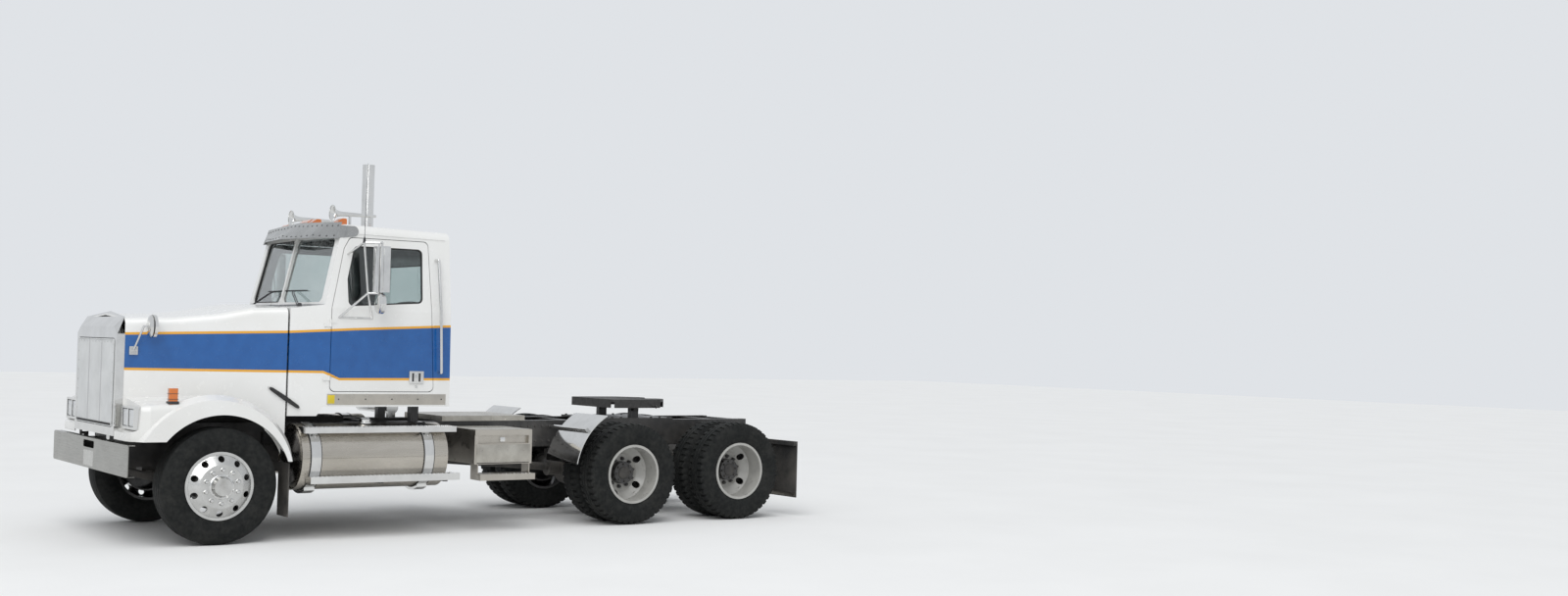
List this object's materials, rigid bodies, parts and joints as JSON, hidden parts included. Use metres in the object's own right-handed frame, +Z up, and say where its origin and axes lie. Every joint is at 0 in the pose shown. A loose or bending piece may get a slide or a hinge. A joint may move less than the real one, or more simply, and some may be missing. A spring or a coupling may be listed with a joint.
{
  "type": "semi truck tractor unit",
  "caption": "Conventional tractor unit with a sloping hood, day cab, fuel tanks under the doors, twin drive axles with paired wheels and a tilting fifth wheel.",
  "frame": {"origin": "middle of the truck's length and width, on the ground under the tyres", "axes": "+X to the truck's left, -Y towards its front bumper, +Z up"},
  "size_m": [2.7198, 7.064, 3.6699],
  "materials": {
    "cab_paint": "gloss white",
    "frame_paint": "satin black",
    "polished": "polished",
    "bright": "satin",
    "wheel_paint": "gloss white",
    "tyre": "matte",
    "rubber": "matte",
    "glass": "clear",
    "cover": "vinyl",
    "lens": "amber",
    "lamp": "clear",
    "iron": "dull",
    "plastic": "grained",
    "fabric": "woven"
  },
  "bodies": {
    "chassis": {"frame": "frame_paint", "front_axle": "iron", "drive_axles": "iron", "rear_suspension": "iron", "engine": "iron", "bumper": "bright", "cab_shell": "cab_paint", "cab_glass": "glass", "sun_visor": "bright", "marker_lamps": "lens", "air_horns": "polished", "seats": "fabric", "dashboard": "plastic", "steering_wheel": "plastic", "exhaust_stack": "polished", "fuel_tanks": "bright", "tank_mounts": "polished", "side_boxes": "bright", "deck": "bright", "quarter_fenders": "polished", "mud_flaps": "rubber", "fifth_wheel_base": "frame_paint", "grab_handles": "polished"},
    "hood": {"hood": "cab_paint", "grille_surround": "polished", "winter_front": "cover", "headlamps": "lamp", "signal_lamps": "lens", "hood_mirrors": "polished"},
    "tie_rod": {"tie_rod": "iron"},
    "fifth_wheel": {"fifth_wheel": "iron"},
    "door_left": {"door_left": "cab_paint", "door_glass_left": "glass", "door_mirror_left": "polished"},
    "knuckle_left": {"knuckle_left": "iron"},
    "wheel_front_left": {"front_tyre_left": "tyre", "front_rim_left": "bright"},
    "wheel_drive1_left": {"drive1_tyres_left": "tyre", "drive1_rims_left": "wheel_paint"},
    "wheel_drive2_left": {"drive2_tyres_left": "tyre", "drive2_rims_left": "wheel_paint"},
    "door_right": {"door_right": "cab_paint", "door_glass_right": "glass", "door_mirror_right": "polished"},
    "knuckle_right": {"knuckle_right": "iron"},
    "wheel_front_right": {"front_tyre_right": "tyre", "front_rim_right": "bright"},
    "wheel_drive1_right": {"drive1_tyres_right": "tyre", "drive1_rims_right": "wheel_paint"},
    "wheel_drive2_right": {"drive2_tyres_right": "tyre", "drive2_rims_right": "wheel_paint"}
  },
  "joints": [
    {"name": "hood_tilt", "type": "hinge", "parent": "chassis", "child": "hood", "pos_m": [0, -3.488, 0.899], "axis": [1, 0, 0], "range_deg": [0, 60]},
    {"name": "fifth_wheel_tilt", "type": "hinge", "parent": "chassis", "child": "fifth_wheel", "pos_m": [0, 1.972, 1.15], "axis": [1, 0, 0], "range_deg": [-12, 12]},
    {"name": "door_left_swing", "type": "hinge", "parent": "chassis", "child": "door_left", "pos_m": [1.024, -1.726, 1.7], "axis": [0, 0, -1], "range_deg": [0, 70]},
    {"name": "steer_left", "type": "hinge", "parent": "chassis", "child": "knuckle_left", "pos_m": [0.85, -2.728, 0.512], "axis": [0, 0, 1], "range_deg": [-35, 35]},
    {"name": "wheel_front_left_spin", "type": "hinge", "parent": "knuckle_left", "child": "wheel_front_left", "pos_m": [1.021, -2.728, 0.512], "axis": [1, 0, 0], "continuous": true},
    {"name": "wheel_drive1_left_spin", "type": "hinge", "parent": "chassis", "child": "wheel_drive1_left", "pos_m": [0.9195, 1.4545, 0.512], "axis": [1, 0, 0], "continuous": true},
    {"name": "wheel_drive2_left_spin", "type": "hinge", "parent": "chassis", "child": "wheel_drive2_left", "pos_m": [0.9195, 2.7755, 0.512], "axis": [1, 0, 0], "continuous": true},
    {"name": "door_right_swing", "type": "hinge", "parent": "chassis", "child": "door_right", "pos_m": [-1.024, -1.726, 1.7], "axis": [0, 0, 1], "range_deg": [0, 70]},
    {"name": "steer_right", "type": "hinge", "parent": "chassis", "child": "knuckle_right", "pos_m": [-0.85, -2.728, 0.512], "axis": [0, 0, 1], "range_deg": [-35, 35]},
    {"name": "wheel_front_right_spin", "type": "hinge", "parent": "knuckle_right", "child": "wheel_front_right", "pos_m": [-1.021, -2.728, 0.512], "axis": [1, 0, 0], "continuous": true},
    {"name": "wheel_drive1_right_spin", "type": "hinge", "parent": "chassis", "child": "wheel_drive1_right", "pos_m": [-0.9195, 1.4545, 0.512], "axis": [1, 0, 0], "continuous": true},
    {"name": "wheel_drive2_right_spin", "type": "hinge", "parent": "chassis", "child": "wheel_drive2_right", "pos_m": [-0.9195, 2.7755, 0.512], "axis": [1, 0, 0], "continuous": true},
    {"name": "tie_rod_turn", "type": "hinge", "parent": "knuckle_left", "child": "tie_rod", "pos_m": [0.85, -2.538, 0.392], "axis": [0, 0, 1], "range_deg": [-35, 35]}
  ],
  "couplings": [
    {"joint": "steer_right", "follows": "steer_left", "ratio": 1},
    {"joint": "tie_rod_turn", "follows": "steer_left", "ratio": -1}
  ]
}
